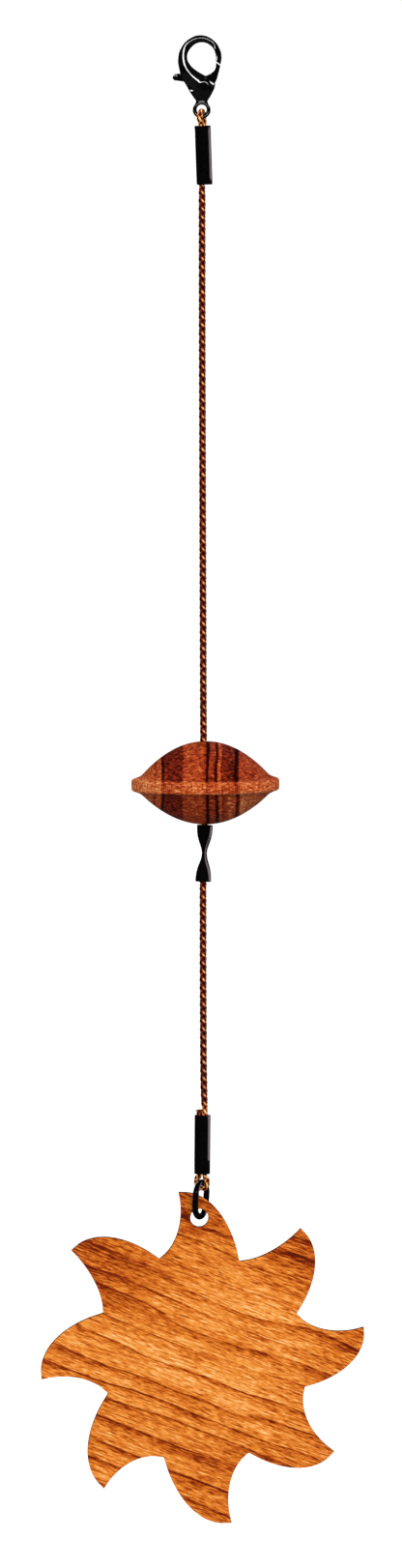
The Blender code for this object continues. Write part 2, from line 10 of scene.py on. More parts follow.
import bmesh
import bpy
import numpy as np
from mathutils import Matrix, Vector


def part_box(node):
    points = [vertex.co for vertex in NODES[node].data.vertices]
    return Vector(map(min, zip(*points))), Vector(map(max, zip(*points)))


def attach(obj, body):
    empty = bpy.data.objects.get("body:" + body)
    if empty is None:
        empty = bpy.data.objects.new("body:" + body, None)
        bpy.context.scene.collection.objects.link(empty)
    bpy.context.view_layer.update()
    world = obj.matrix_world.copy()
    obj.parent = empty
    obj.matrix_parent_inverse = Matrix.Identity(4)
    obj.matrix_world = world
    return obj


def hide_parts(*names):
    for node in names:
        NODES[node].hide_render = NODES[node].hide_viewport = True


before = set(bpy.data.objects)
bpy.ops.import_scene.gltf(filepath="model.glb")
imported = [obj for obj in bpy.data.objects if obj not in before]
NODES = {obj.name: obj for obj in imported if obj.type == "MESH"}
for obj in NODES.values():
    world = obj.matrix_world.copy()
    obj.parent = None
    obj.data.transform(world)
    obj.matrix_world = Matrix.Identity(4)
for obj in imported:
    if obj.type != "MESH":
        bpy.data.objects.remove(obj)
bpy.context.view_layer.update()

MM = 0.001
PER_MM = 1000.0                  # turns metres into millimetres

# The photograph's view
PHOTO_WIDTH = 416
PHOTO_HEIGHT = 1622
PHOTO_SCALE = 0.25 * MM          # for one pixel
PHOTO_ORIGIN = (208.7, 44.9)     # pixel of the frame's origin
CAMERA_ELEVATION = math.radians(3.5)
CAMERA_DISTANCE = 4.0
CAMERA_LIFT = 1.2                # pixels, shares out the shift of both ends by perspective
SENSOR = 36.0

FLOOR_Z = -0.46
FLOOR_SIZE = 60.0

# The cord's way in millimetres and its thickness there as a share of its diameter
CORD_DIAMETER = 1.85 * MM
ROUTE = (
    (1.27, 0.50, -35.4, 0.76),
    (0.96, 0.60, -29.0, 0.76),
    (0.57, 0.62, -21.8, 0.76),
    (0.56, 1.05, -20.5, 0.82),
    (0.50, 1.66, -19.5, 0.84),
    (0.42, 1.60, -18.5, 0.80),
    (0.28, 1.10, -17.82, 0.75),
    (0.0, 0.0, -17.65, 0.74),
    (-0.30, -1.10, -17.82, 0.75),
    (-0.48, -1.60, -18.5, 0.80),
    (-0.50, -1.66, -19.5, 0.86),
    (-0.32, -1.08, -20.5, 0.82),
    (-0.15, -0.64, -21.8, 0.76),
    (-0.06, -0.60, -29.0, 0.76),
    (0.06, -0.48, -36.2, 0.86),
    (0.10, -0.20, -40.0, 1.0),
    (0.10, 0.0, -47.0, 1.0),
    (0.12, 0.0, -70.0, 1.0),
    (0.20, 0.0, -100.0, 1.0),
    (0.30, 0.0, -135.0, 1.0),
    (0.42, 0.0, -170.0, 1.0),
    (0.55, 0.0, -185.0, 1.0),
    (0.74, 0.0, -198.0, 0.96),
    (0.76, 0.0, -203.2, 0.90),
    (0.68, 0.0, -206.4, 0.80),
    (0.63, 0.0, -207.7, 0.46),
    (0.59, 0.0, -209.1, 0.29),
    (0.55, 0.0, -210.5, 0.46),
    (0.50, 0.0, -211.8, 0.80),
    (0.38, 0.0, -215.2, 0.94),
    (0.34, 0.0, -219.5, 1.0),
    (0.36, 0.0, -240.0, 1.0),
    (0.46, 0.0, -262.0, 1.0),
    (0.64, -0.05, -272.0, 0.98),
    (0.88, -0.20, -277.6, 0.76),
    (0.86, -0.32, -284.5, 0.76),
    (0.74, -0.33, -292.1, 0.75),
    (1.24, -0.60, -293.3, 0.78),
    (1.47, -0.72, -294.5, 0.75),
    (1.06, -0.51, -295.55, 0.75),
    (0.05, 0.0, -296.0, 0.75),
    (-0.96, 0.51, -295.55, 0.75),
    (-1.37, 0.72, -294.5, 0.75),
    (-1.14, 0.60, -293.3, 0.78),
    (-0.60, 0.33, -292.1, 0.75),
    (-0.62, 0.32, -284.5, 0.76),
    (-0.54, 0.20, -277.6, 0.76),
    (-0.62, 0.16, -275.6, 0.82),
)
ROUTE_STEP = 0.22 * MM           # between rings of a strand

# The braid: two sets of strands that wind opposite ways, over and under each other
STRANDS_EACH_WAY = 3
LAY = 6.42 * MM                  # length of one full turn of a strand
STRAND_WIDTH = 0.76 * MM
STRAND_THICKNESS = 0.48 * MM
STRAND_WAVE = 0.13 * MM          # how far a strand moves out and in
STRAND_SIDES = 8
BULGE = 0.05 * MM                # how far the crowns stand out of the cord's diameter
CORE_RADIUS = 0.42 * MM
BRAID_TURN = math.radians(50.0)  # where the first strand starts round the cord
# Painted light and shade of a strand, by how far it stands out: on average, how much lighter
# where it goes over and darker where it goes under, and the share of it for the strands that
# rise to the right, which are painted darker as painted shade for light from the upper right
PAINTED_LIGHT_MEAN = 0.775
PAINTED_LIGHT_SWING = 0.225
RISING_PAINTED_LIGHT = 0.84
LOOP_SHARE = 0.86                # the braid is squeezed to less than this in its loops
LOOP_FADE = 0.06                 # and is painted paler over this change: painted light on the loops
LOOP_PAINTED_LIGHT = 0.25
TAIL_LENGTH = 16.0 * MM          # at the cord's end, which isn't painted paler
FRAYED_ENDS = 18                 # fibres that stand up from the tail at the lower crimp
FRAYED_LENGTH = 1.25 * MM
FRAYED_WIDTH = 0.24 * MM
FRAYED_TAPER = 0.6               # how much thinner a fibre is at its end
FRAYED_RINGS = 7                 # along a fibre
FRAY_SEED = 5

# The clasp, seen from the front, in millimetres
CLASP_DEPTH = 3.8
HOOK_DEPTH = 2.9
EYE_DEPTH = 1.6
CHEEK_TOP_Z = -8.0
CHEEK_BOTTOM_Z = -12.4
NECK_Z = -15.2
EYE_Z = -17.3
EYE_RADIUS = 2.33
EYE_HOLE_RADIUS = 1.28
CLASP_EDGE = 0.3                 # rounding of the cast edges
SLOT_DEPTH = 2.0
LEVER_DEPTH = 1.6
LEVER_EDGE = 0.15
THUMB_DEPTH = 2.8
THUMB_START_X = -5.5
THUMB_FULL_X = -6.3
THUMB_Z = -8.95                  # middle of the tab
THUMB_ROUNDING = 0.42            # how much thinner the tab is at its top and bottom
DOME_START = 0.3                 # millimetres before the tab where its doming begins
PIVOT = (0.6, -11.2)
PIVOT_HOLE_RADIUS = 0.7
SMOOTH = "AUTO"
CORNER = "VECTOR"
CLAW_INNER = (
    (3.62, -4.85, CORNER),
    (3.62, -3.5, SMOOTH),
    (2.62, -1.2, SMOOTH),
    (0.0, 0.0, SMOOTH),
    (-2.5, -1.15, SMOOTH),
    (-3.72, -3.8, SMOOTH),
    (-2.95, -5.75, SMOOTH),
    (-1.0, -7.48, SMOOTH),
    (0.7, -8.45, CORNER),
    (3.5, -10.45, CORNER),
    (3.5, -11.1, SMOOTH),
    (2.65, -13.15, SMOOTH),
    (1.5, -15.1, CORNER),
)
CLAW_OUTER = (
    (-1.45, -15.1, CORNER),
    (-2.81, -13.15, SMOOTH),
    (-4.12, -10.9, SMOOTH),
    (-5.15, -9.2, SMOOTH),
    (-5.75, -7.15, SMOOTH),
    (-6.13, -4.5, SMOOTH),
    (-5.35, -1.5, SMOOTH),
    (-3.2, 0.9, SMOOTH),
    (-0.4, 1.85, SMOOTH),
    (2.6, 0.9, SMOOTH),
    (4.75, -1.8, SMOOTH),
    (5.17, -3.8, SMOOTH),
    (4.9, -5.75, CORNER),
)
# The space between the cheeks: the lever swings in it and reaches into the hook.
SLOT = (
    (-9.0, -7.8),
    (-2.1, -8.1),
    (-1.35, -6.9),
    (6.0, -6.9),
    (6.0, -13.3),
    (-9.0, -13.3),
)
# The lever from the outer corner of its tip down the arm, round the hub, out along the
# tail to the thumb tab and back to the inner side of the arm.
LEVER = (
    (4.82, -6.0, CORNER),
    (4.37, -7.9, SMOOTH),
    (3.62, -10.1, SMOOTH),
    (2.1, -11.9, SMOOTH),
    (0.6, -12.8, SMOOTH),
    (-1.0, -12.0, SMOOTH),
    (-4.4, -10.2, SMOOTH),
    (-6.2, -9.86, SMOOTH),
    (-7.3, -9.6, SMOOTH),
    (-7.45, -8.8, SMOOTH),
    (-6.2, -8.03, SMOOTH),
    (-4.4, -8.55, SMOOTH),
    (-1.0, -9.6, SMOOTH),
    (0.7, -8.65, CORNER),
    (1.6, -8.33, SMOOTH),
    (3.15, -7.3, SMOOTH),
    (3.61, -6.3, SMOOTH),
    (3.6, -5.15, CORNER),
)

# The crest along the clasp, from the hook's tip over the top and down to the rivet, in
# millimetres seen from the front, each point with how wide the crest is rounded there
CREST = (
    (2.9, -5.6, 0.04), (3.2, -3.4, 0.04), (3.4, -1.9, 0.04), (3.25, -0.65, 0.04),
    (2.3, 0.35, 0.06), (0.9, 0.98, 0.07), (-0.5, 1.1, 0.05), (-1.9, 0.8, 0.06),
    (-3.1, 0.15, 0.10), (-4.05, -0.75, 0.16), (-4.55, -1.9, 0.22), (-4.72, -3.0, 0.24),
    (-4.7, -4.15, 0.24), (-4.42, -5.65, 0.24), (-3.78, -7.15, 0.26), (-2.65, -8.65, 0.30),
    (-1.3, -9.85, 0.38), (-0.2, -10.9, 0.42), (0.95, -11.95, 0.42),
)
CREST_STEPS = 6                  # between two of its points
CREST_SLOPE = 0.22               # of the faces beside the crest
CREST_REACH = 2.0                # millimetres from the crest, where the faces end level
CREST_BEND = 3.5                 # how sharply they end
CREST_FADE_Z = (-14.5, -12.0)    # heights over which they fade in
CREST_FADE_Y = (0.9, 1.3)        # and distances from the middle of the depth
SLOPE_LIMIT = 0.9                # most of the depth that a slope may take
BOSS_RADIUS = 1.1                # the faces are level under the rivet's heads
BOSS_FOOT = 1.8
EYE_SLOPE = 0.42                 # of the faces on both sides of the eye's middle
EYE_ROUNDING = 0.05
EYE_FADE_Z = (-14.6, -15.4)      # heights over which those fade in

# Castings: size of their mesh in millimetres, and how often it is softened
CLASP_VOXEL = 0.09
CLASP_SOFTENED = 5
LEVER_VOXEL = 0.08
LEVER_SOFTENED = 3
CASTING_EDGE_STEPS = 3

# Smooth surfaces over the CAD's flat faces
WELD = 2e-6
SAME_FACE = math.radians(40.0)   # triangles that turn less than this are one face
ANY_SHAPE = math.radians(70.0)
SHARP_EDGE = math.radians(40.0)
SMOOTH_LEVELS = 2
REFINE_PASSES = 3                # that draw the surface back out to the CAD's corners
REFINE_SHARE = 0.8

# The rivet's outline from the middle of a head inwards: radius and distance from the
# middle of the clasp, in millimetres
RIVET = (
    (0.0, 2.35), (0.34, 2.335), (0.63, 2.28), (0.86, 2.2), (0.99, 2.12), (1.04, 2.05),
    (1.03, 2.0), (0.6, 2.0),
)
RIVET_STEPS = 48

# The clapper
CLAPPER_BAND = 3.3 * MM
LOWER_DOME_HEIGHT = 10.3 * MM    # from the middle of the band

# The sun's board
SUN_THICKNESS = 2.6 * MM
SUN_TURN = math.radians(2.5)
SUN_EDGE = 0.14 * MM             # how far its edges are softened
SUN_EDGE_STEPS = 1
SUN_WELD = 1e-6
SUN_FRONT = -0.7                 # a face whose normal's Y is lower is on its front
SUN_CORNER = math.radians(32.0)  # sharper turns of its outline are corners
SUN_STEPS = 4                    # between two of the CAD's points
FACE_SHARE = 0.35                # what looks less than this to the front is charred
FLAT_SHARE = 0.95                # what looks more than this to the front is shaded flat

# Strength of the world as light, in reflections and as background
WORLD_LIGHT = 0.32
WORLD_MIRRORED = 0.05
WORLD_SEEN = 1.15


def smoothstep(start, end, value):
    """0 at start and 1 at end, whichever of them is higher."""
    share = np.clip((value - start) / (end - start), 0.0, 1.0)
    return share * share * (3.0 - 2.0 * share)


def through(before, start, end, after, share):
    """Point on the smooth curve through four neighbours, between start and end."""
    square = share * share
    cube = square * share
    return 0.5 * (2.0 * start + (end - before) * share
                  + (2.0 * before - 5.0 * start + 4.0 * end - after) * square
                  + (3.0 * start - before - 3.0 * end + after) * cube)


def new_object(name, data):
    made = bpy.data.objects.new(name, data)
    bpy.context.scene.collection.objects.link(made)
    return made


def add_piece(name, data, body="line"):
    """Add a piece that rides on a body."""
    made = new_object(name, data)
    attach(made, body)
    return made


def evaluated_mesh(source):
    bpy.context.view_layer.update()
    graph = bpy.context.evaluated_depsgraph_get()
    return bpy.data.meshes.new_from_object(source.evaluated_get(graph), depsgraph=graph)


def used_up(source, tools=()):
    """The mesh that an object's curve or modifiers make, without the object and its tools."""
    made = evaluated_mesh(source)
    for item in (source, *tools):
        bpy.data.objects.remove(item, do_unlink=True)
    return made


def points_of(mesh):
    co = np.zeros(len(mesh.vertices) * 3, np.float32)
    mesh.vertices.foreach_get("co", co)
    return co.reshape(-1, 3).astype(float)


def put_points(mesh, points):
    mesh.vertices.foreach_set("co", points.astype(np.float32).ravel())
    mesh.update()


def welded(node):
    """A bmesh of a CAD node with its corners joined up."""
    form = bmesh.new()
    form.from_mesh(NODES[node].data)
    bmesh.ops.remove_doubles(form, verts=form.verts, dist=WELD)
    return form


def finish_piece(made, node, look):
    """Give a piece its material and let it stand for its CAD node."""
    made.data.materials.clear()
    made.data.materials.append(look)
    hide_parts(node)
    return made


# Materials


class Tree:
    """The node tree of a Principled material, with short calls to add to it."""

    def __init__(self, name, values):
        self.material = bpy.data.materials.new(name)
        self.material.use_nodes = True
        self.nodes = self.material.node_tree.nodes
        self.links = self.material.node_tree.links
        self.shader = self.nodes["Principled BSDF"]
        for key, value in values.items():
            self.shader.inputs[key].default_value = value

    def add(self, kind, inputs=(), **settings):
        made = self.nodes.new("ShaderNode" + kind)
        for key, value in settings.items():
            setattr(made, key, value)
        for key, value in dict(inputs).items():
            self.put(value, made.inputs[key])
        return made

    def put(self, value, socket):
        if isinstance(value, bpy.types.NodeSocket):
            self.links.new(value, socket)
        else:
            socket.default_value = value

    def math(self, operation, first, second=0.0, third=0.0):
        inputs = {0: first, 1: second, 2: third}
        return self.add("Math", inputs, operation=operation).outputs[0]

    def mix(self, share, first, second):
        """A colour between two; a Mix node has its colour sockets at 6 and 7."""
        made = self.add("Mix", data_type="RGBA")
        self.put(share, made.inputs["Factor"])
        self.put(first, made.inputs[6])
        self.put(second, made.inputs[7])
        return made.outputs[2]

    def ramp(self, value, stops):
        """A colour ramp through (place, colour) stops; a colour may be one grey number."""
        made = self.add("ValToRGB", {"Fac": value})
        ramp = made.color_ramp
        while len(ramp.elements) < len(stops):
            ramp.elements.new(0.5)
        for element, (place, colour) in zip(ramp.elements, stops):
            element.position = place
            rgb = colour if isinstance(colour, tuple) else (colour,) * 3
            element.color = (*rgb, 1.0)
        return made.outputs[0]

    def noise(self, vector, scale, detail=2.0, roughness=0.5, distortion=0.0):
        inputs = {"Vector": vector, "Scale": scale, "Detail": detail, "Roughness": roughness,
                  "Distortion": distortion}
        return self.add("TexNoise", inputs).outputs["Fac"]

    def place(self, location=(0.0, 0.0, 0.0), rotation=(0.0, 0.0, 0.0), scale=(PER_MM,) * 3):
        """The piece's own coordinates, in millimetres unless scale says otherwise."""
        source = self.add("TexCoord").outputs["Object"]
        inputs = {"Vector": source, "Location": location, "Rotation": rotation, "Scale": scale}
        return self.add("Mapping", inputs).outputs[0]

    def place_from(self, centre):
        """The way from a place that is given in metres, in millimetres."""
        return self.place(location=tuple(-PER_MM * value for value in centre))

    def grain(self, vector, stretch, detail, roughness=0.5, location=(0.0, 0.0, 0.0)):
        """Noise with its own scale along each axis."""
        inputs = {"Vector": vector, "Scale": stretch, "Location": location}
        return self.noise(self.add("Mapping", inputs).outputs[0], 1.0, detail, roughness)

    def plus(self, tone, value, amount):
        """A tone with a value added by some amount."""
        return self.math("MULTIPLY_ADD", value, amount, tone)

    def varied(self, tone, noise, amount):
        """A tone that a noise moves up and down."""
        return self.plus(tone, self.math("SUBTRACT", noise, 0.5), amount)

    def colour(self, socket):
        self.links.new(socket, self.shader.inputs["Base Color"])

    def roughness(self, socket):
        self.links.new(socket, self.shader.inputs["Roughness"])

    def bump(self, height, strength, distance):
        made = self.add("Bump", {"Height": height, "Strength": strength, "Distance": distance})
        self.links.new(made.outputs[0], self.shader.inputs["Normal"])


def shade(red, green, blue):
    """Linear colour of a 0 to 255 screen colour."""
    made = []
    for value in (red, green, blue):
        share = value / 255.0
        made.append(share / 12.92 if share <= 0.04045 else ((share + 0.055) / 1.055) ** 2.4)
    return tuple(made)


def gloss_black():
    """Black plating over a casting."""
    tree = Tree("gloss black", {"Metallic": 1.0, "Roughness": 0.16})
    place = tree.place()
    patch = tree.noise(place, 0.9, 3.0)
    tree.colour(tree.ramp(patch, ((0.3, 0.045), (0.7, 0.060))))
    tree.roughness(tree.ramp(tree.noise(place, 2.0, 3.0), ((0.3, 0.055), (0.75, 0.09))))
    tree.bump(tree.noise(place, 0.9, 2.0), 0.03, 0.00003)
    return tree.material


def satin_black(name="satin black", low=0.09, high=0.13):
    """Black tube, wire and pin, a little grey where it is rubbed."""
    tree = Tree(name, {"Specular IOR Level": 0.15})
    place = tree.place()
    grain = tree.grain(place, (6.0, 6.0, 0.6), 3.0)
    rubbed = tree.noise(place, 1.3, 4.0, 0.7)
    tree.colour(tree.mix(tree.ramp(rubbed, ((0.55, 0.0), (0.8, 0.5))),
                         (*shade(5, 4, 5), 1.0), (*shade(18, 14, 16), 1.0)))
    tree.roughness(tree.ramp(grain, ((0.3, low), (0.7, high))))
    tree.bump(grain, 0.05, 0.00001)
    return tree.material


def cord_fibre():
    """Waxed copper-brown yarn. The strand attribute holds the way along a strand in
    millimetres, the place across it and its number, and painted_crown_light is 1 where it stands
    out: painted light and shade, lighter on a strand's top and darker on its sides and
    underneath."""
    tree = Tree("cord fibre", {"Roughness": 0.4, "Specular IOR Level": 0.14})
    strand = tree.add("Attribute", attribute_name="strand").outputs["Vector"]
    painted_crown_light = tree.add("Attribute", attribute_name="painted_crown_light").outputs["Fac"]
    fibres = tree.grain(strand, (0.5, 3.6, 7.3), 3.0, 0.6)
    patches = tree.grain(strand, (0.6, 0.8, 5.1), 2.0, 0.6)
    # Painted highlight and shade: the tone follows how far the strand's surface faces out,
    # lighter on its top and darker on its sides.
    tone = tree.math("POWER", painted_crown_light, 2.6)
    tone = tree.varied(tone, patches, 0.9)
    tone = tree.varied(tone, fibres, 0.6)
    tree.colour(tree.ramp(tone, (
        (0.08, shade(20, 3, 2)), (0.32, shade(92, 22, 8)), (0.58, shade(150, 54, 16)),
        (0.80, shade(226, 128, 52)), (1.0, shade(255, 196, 120)))))
    tree.bump(fibres, 0.6, 0.00006)
    return tree.material


def cord_core():
    """The inside of the braid that shows between its strands, near black: painted shade in the
    braid's gaps.
    """
    tree = Tree("cord core", {"Roughness": 0.9, "Specular IOR Level": 0.1})
    depth = tree.noise(tree.place(), 3.0, 2.0)
    tree.colour(tree.ramp(depth, ((0.35, shade(10, 3, 2)), (0.7, shade(44, 13, 6)))))
    return tree.material


# Colours of the two woods, dark to light
SAIL_TONES = (
    (0.0, shade(98, 26, 6)), (0.24, shade(164, 62, 14)), (0.5, shade(222, 119, 34)),
    (0.74, shade(246, 158, 68)), (1.0, shade(255, 206, 136)),
)
GRAIN_FALL = math.radians(21.0)   # the sail's grain runs down to the right
RING_SPACING = 5.2                # millimetres between the sail's darker lines
SAIL_REACH = 45.0                 # millimetres from its middle to past its tips


def sail_wood(centre):
    """Flat-sawn board with wavy year rings, short pores and pale streaks, stained darker
    towards its rays."""
    tree = Tree("sail wood", {"Roughness": 0.5, "Specular IOR Level": 0.05})
    place = tree.place(rotation=(0.0, -GRAIN_FALL, 0.0))
    parts = tree.add("SeparateXYZ", {0: place}).outputs
    wander = tree.grain(place, (0.018, 0.03, 0.045), 2.0)
    uneven = tree.grain(place, (0.006, 0.03, 0.14), 2.0)
    across = tree.plus(tree.plus(parts[2], wander, 9.0), uneven, 9.0)
    ring = tree.math("FRACT", tree.math("DIVIDE", across, RING_SPACING))
    line = tree.ramp(ring, ((0.0, 0.60), (0.08, 0.72), (0.5, 0.64), (0.8, 0.47), (0.92, 0.28),
                            (0.945, 0.0), (0.975, 0.04), (1.0, 0.60)))
    strength = tree.grain(place, (0.02, 0.05, 0.11), 3.0)
    strength = tree.ramp(strength, ((0.40, 0.32), (0.60, 0.95)))
    tone = tree.plus(0.56, tree.math("SUBTRACT", line, 0.60), strength)
    fine_ring = tree.math("SINE", tree.math("MULTIPLY", across, 5.3))
    tone = tree.plus(tone, fine_ring, 0.03)
    streak = tree.grain(place, (0.12, 1.0, 2.2), 3.0, 0.6)
    tone = tree.varied(tone, streak, 0.85)
    dash = tree.grain(place, (0.42, 1.0, 3.6), 2.0, 0.7)
    tone = tree.varied(tone, dash, 1.7)
    zone = tree.grain(place, (0.02, 0.03, 0.06), 2.0)
    tone = tree.varied(tone, zone, 0.55)
    pore = tree.ramp(dash, ((0.26, 1.0), (0.36, 0.0)))
    tone = tree.plus(tone, pore, -0.12)
    away = tree.place_from(centre)
    reach = tree.add("VectorMath", {0: away}, operation="LENGTH").outputs["Value"]
    ray = tree.ramp(tree.math("DIVIDE", reach, SAIL_REACH), ((0.45, 0.0), (0.85, 1.0)))
    tone = tree.plus(tone, ray, -0.12)
    height = tree.add("SeparateXYZ", {0: away}).outputs[2]
    top = tree.ramp(tree.math("DIVIDE", height, SAIL_REACH), ((0.3, 0.0), (0.48, 1.0)))
    tone = tree.plus(tone, top, -0.12)
    tree.colour(tree.ramp(tone, SAIL_TONES))
    tree.roughness(tree.ramp(streak, ((0.3, 0.55), (0.7, 0.42))))
    tree.bump(tree.plus(streak, pore, -1.0), 0.25, 0.00006)
    return tree.material


def charred_edge():
    """Wood burnt by the cut, near black, with brown where the char is thin."""
    tree = Tree("charred edge", {"Roughness": 0.75, "Specular IOR Level": 0.2})
    place = tree.place()
    patch = tree.noise(place, 0.6, 4.0, 0.6)
    tree.colour(tree.ramp(patch, ((0.35, shade(15, 9, 7)), (0.6, shade(38, 20, 12)),
                                  (0.8, shade(92, 44, 18)))))
    tree.bump(tree.grain(place, (5.0, 0.7, 5.0), 3.0), 0.5, 0.0001)
    return tree.material


# Stripes of the clapper's grain: millimetres right of its axis, and tone from 0, dark
CLAPPER_STRIPES = (
    (-19.2, 0.66), (-13.6, 0.62), (-12.6, 0.60), (-11.5, 0.58), (-10.9, 0.28), (-6.2, 0.22),
    (-5.5, 0.52), (-1.1, 0.50), (-0.3, 0.42), (0.85, 0.40), (2.5, 0.44), (3.3, 0.50),
    (3.9, 0.62), (4.3, 0.26), (7.9, 0.20), (9.0, 0.46), (11.0, 0.44), (19.2, 0.46),
)
# Its thin dark lines: millimetres right of its axis, half their width, and depth
CLAPPER_LINES = (
    (-13.1, 0.25, 0.5), (-11.1, 0.30, 0.8), (0.5, 0.34, 0.95), (2.9, 0.34, 0.95),
    (8.2, 0.45, 0.9),
)
CLAPPER_TONES = (
    (0.0, shade(30, 4, 2)), (0.25, shade(98, 19, 8)), (0.5, shade(158, 52, 20)),
    (0.75, shade(206, 100, 46)), (1.0, shade(246, 172, 114)),
)
CLAPPER_WIDTH = 38.4              # millimetres that the stripes fill
LINE_FOOT = 1.6                   # a line ends this many half widths from its middle
LINE_CORE = 0.5                   # and is darkest inside this many


def clapper_wood(centre):
    """Dark stained wood whose upright layers show as stripes, paler on the rounded band."""
    tree = Tree("clapper wood", {"Roughness": 0.5, "Specular IOR Level": 0.06})
    place = tree.place_from(centre)
    parts = tree.add("SeparateXYZ", {0: place}).outputs
    wander = tree.grain(place, (0.08, 0.05, 0.10), 2.0)
    across = tree.varied(parts[0], wander, 1.6)
    share = tree.plus(0.5, across, 1.0 / CLAPPER_WIDTH)
    tone = tree.ramp(share, tuple((0.5 + x / CLAPPER_WIDTH, dark) for x, dark in CLAPPER_STRIPES))
    height = tree.math("ABSOLUTE", parts[2])
    on_band = tree.ramp(tree.math("DIVIDE", height, PER_MM * CLAPPER_BAND),
                        ((0.42, 1.0), (0.56, 0.0)))
    evened = tree.plus(0.16, tree.math("SUBTRACT", 0.60, tone), 0.5)
    tone = tree.plus(tone, on_band, evened)
    slant = tree.add("Mapping", {"Vector": place, "Rotation": (0.0, math.radians(35.0), 0.0),
                                 "Scale": (0.8, 1.0, 2.3)}).outputs[0]
    fleck = tree.noise(slant, 1.0, 3.0, 0.75, 0.4)
    tone = tree.varied(tone, fleck, 1.8)
    fibre = tree.grain(place, (4.5, 2.0, 0.22), 3.0)
    tone = tree.varied(tone, fibre, 0.6)
    stops = [(0.0, 0.0)]
    for x, half, depth in CLAPPER_LINES:
        for aside, dark in ((-LINE_FOOT, 0.0), (-LINE_CORE, depth), (LINE_CORE, depth),
                            (LINE_FOOT, 0.0)):
            stops.append((0.5 + (x + aside * half) / CLAPPER_WIDTH, dark))
    line = tree.math("MULTIPLY", tree.ramp(share, stops), tree.plus(1.0, on_band, -0.6))
    tone = tree.plus(tone, line, -0.5)
    # Painted light: the lower right of the clapper is painted lighter, light from the lower right
    # painted into its tone.
    lower = tree.ramp(tree.plus(0.5, parts[2], -0.1), ((0.55, 0.0), (0.75, 1.0)))
    right = tree.ramp(share, ((0.60, 0.0), (0.66, 1.0), (0.72, 0.7), (0.95, 0.3)))
    tone = tree.plus(tone, tree.math("MULTIPLY", lower, right), 0.46)
    tick = tree.grain(place, (2.2, 1.6, 0.3), 2.0, 0.7, (7.0, 3.0, 0.0))
    tick = tree.math("MULTIPLY", tree.ramp(tick, ((0.30, 1.0), (0.42, 0.0))), on_band)
    tone = tree.plus(tone, tick, -0.3)
    tree.colour(tree.ramp(tone, CLAPPER_TONES))
    tree.roughness(tree.ramp(fleck, ((0.3, 0.52), (0.7, 0.36))))
    tree.bump(tree.math("ADD", fleck, fibre), 0.35, 0.0001)
    return tree.material


# The braided cord


def route_points():
    """Centre line and thickness, as rows of x, y, z, share, about one step apart."""
    knots = np.array(ROUTE) * (MM, MM, MM, 1.0)
    rows = []
    last = len(knots) - 1
    for index in range(last):
        start = knots[index]
        end = knots[index + 1]
        length = np.linalg.norm(end[:3] - start[:3])
        before = knots[max(index - 1, 0)]
        after = knots[min(index + 2, last)]
        if length > 2.0 * np.linalg.norm(start[:3] - before[:3]):
            before = start - (end - start)
        if length > 2.0 * np.linalg.norm(after[:3] - end[:3]):
            after = end + (end - start)
        count = max(1, math.ceil(length / ROUTE_STEP))
        for part in range(count):
            rows.append(through(before, start, end, after, part / count))
    rows.append(knots[-1])
    return np.array(rows)


def unit(rows):
    return rows / np.linalg.norm(rows, axis=1)[:, None]


def tangents(line):
    return unit(np.gradient(line, axis=0))


def length_along(line):
    """Length from a line's start to each of its points."""
    steps = np.linalg.norm(np.diff(line, axis=0), axis=1)
    return np.concatenate(([0.0], np.cumsum(steps)))


def carried_frame(centre):
    """Two directions across the line at each of its points, carried along without twist."""
    tangent = tangents(centre)
    side = np.zeros_like(tangent)
    current = np.cross(tangent[0], (0.0, 1.0, 0.0))
    for index, forward in enumerate(tangent):
        current = current - forward * np.dot(current, forward)
        current = current / np.linalg.norm(current)
        side[index] = current
    return side, np.cross(tangent, side)


